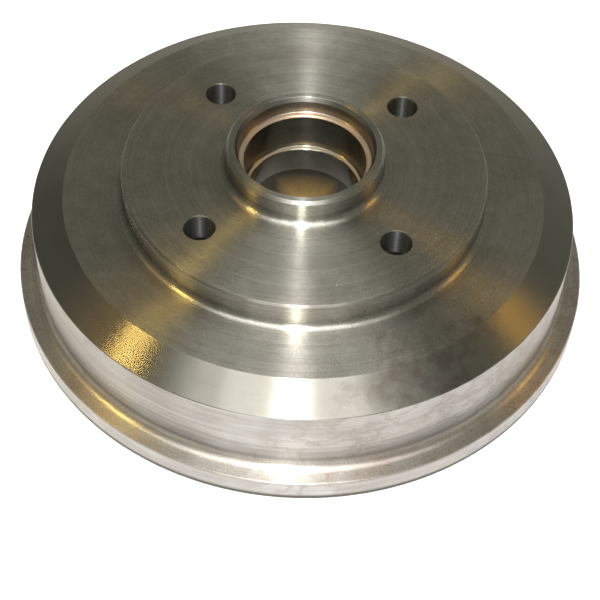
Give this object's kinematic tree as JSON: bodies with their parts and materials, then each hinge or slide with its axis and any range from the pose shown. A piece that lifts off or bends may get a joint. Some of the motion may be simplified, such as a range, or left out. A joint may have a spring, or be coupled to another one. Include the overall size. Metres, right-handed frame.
{
  "type": "brake drum",
  "caption": "Brake drum for a small car cast in one piece with its wheel hub: a machined iron bowl with a flanged mouth, a raised wheel face, stud holes and a bored hub nose.",
  "frame": {"origin": "on the axle axis, in the plane of the drum's open mouth, which it stands on", "axes": "+Z along the axle, from the open mouth to the wheel face and the hub nose; the stud holes lie at 45 degrees to X and Y"},
  "size_m": [0.239, 0.239, 0.0714],
  "materials": {
    "machined_iron": "fine turned, bare and dry, with faint brown stains on the rim"
  },
  "bodies": {
    "root": {"brake_drum": "machined_iron"}
  },
  "joints": []
}
